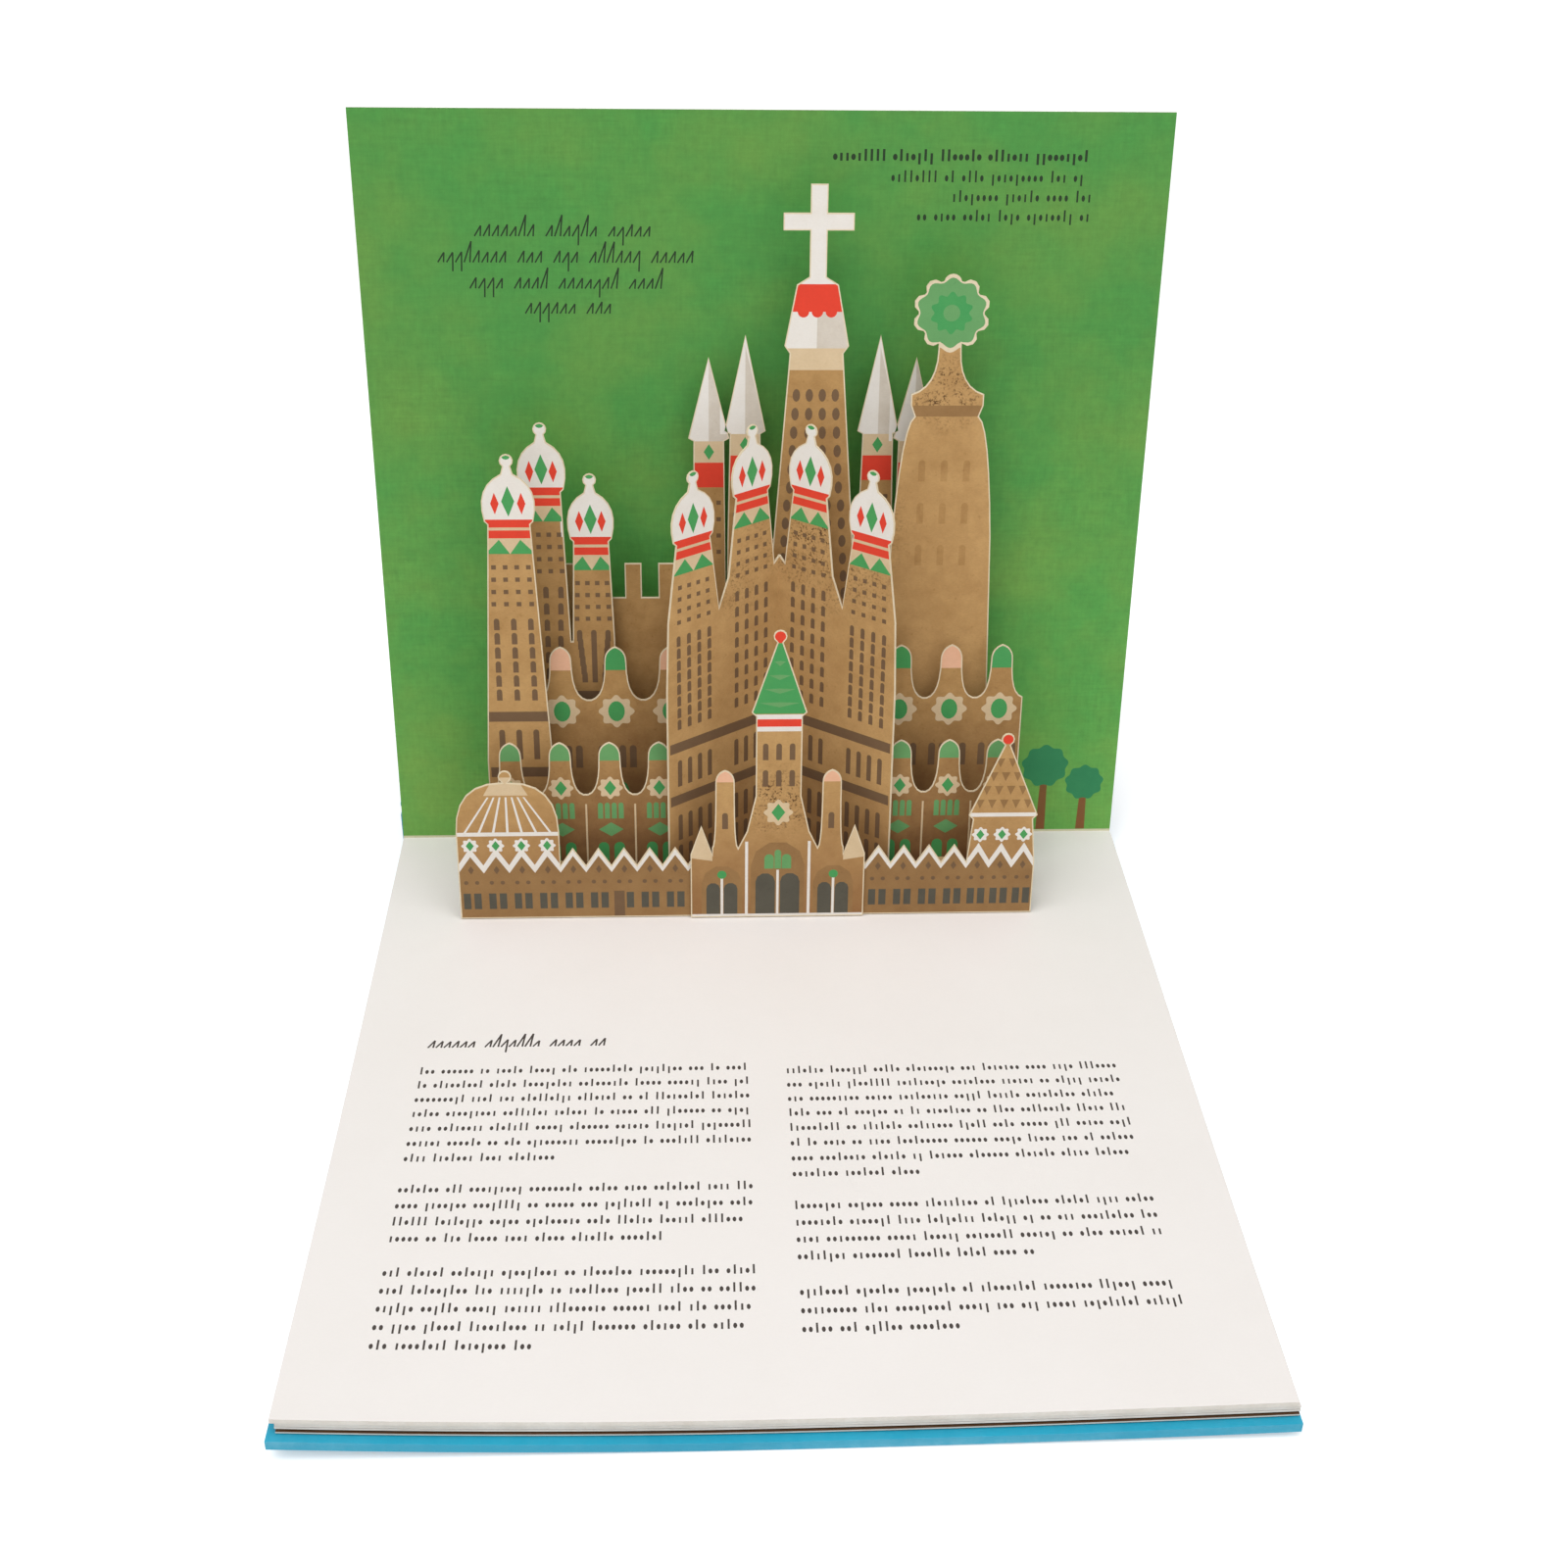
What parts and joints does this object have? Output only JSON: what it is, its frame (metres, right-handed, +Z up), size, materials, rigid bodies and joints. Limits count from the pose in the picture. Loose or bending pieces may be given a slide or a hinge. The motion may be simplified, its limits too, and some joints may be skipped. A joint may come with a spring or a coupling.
{
  "type": "pop-up book",
  "caption": "Children's pop-up book open at a right angle, with a die-cut card town standing in front of the upright page.",
  "frame": {"origin": "on the underside of the back cover, below the middle of the gutter, at table level", "axes": "+X along the gutter to the reader's right, +Y from the reader to the back, +Z up"},
  "size_m": [0.212, 0.4336, 0.2151],
  "materials": {
    "cover": "printed paper over board, matt laminated",
    "leaves": "uncoated card edges",
    "page": "uncoated printed card, white below and green above",
    "kraft_card": "uncoated card printed kraft brown, pale at the cut edges"
  },
  "bodies": {
    "lying_half": {"back_cover": "cover", "lower_leaves": "leaves", "pop_up_sheet": "page", "front_terrace": "kraft_card", "gatehouse": "kraft_card", "front_facade": "kraft_card", "left_low_gables": "kraft_card", "left_high_gables": "kraft_card", "right_low_gables": "kraft_card", "right_high_gables": "kraft_card", "left_front_tower": "kraft_card", "left_rear_towers": "kraft_card", "battlement_wall": "kraft_card", "tall_tower": "kraft_card", "spirelets": "kraft_card", "right_tower": "kraft_card"},
    "spine": {"spine_board": "cover"},
    "front": {"front_cover": "cover", "earlier_leaves": "leaves"}
  },
  "joints": [
    {"name": "spine_hinge", "type": "hinge", "parent": "lying_half", "child": "spine", "pos_m": [0, 0.0062, 0.0007], "axis": [-1, 0, 0], "range_deg": [0, 75]},
    {"name": "front_cover_hinge", "type": "hinge", "parent": "spine", "child": "front", "pos_m": [0, 0.0062, 0.015], "axis": [1, 0, 0], "range_deg": [0, 76]}
  ]
}
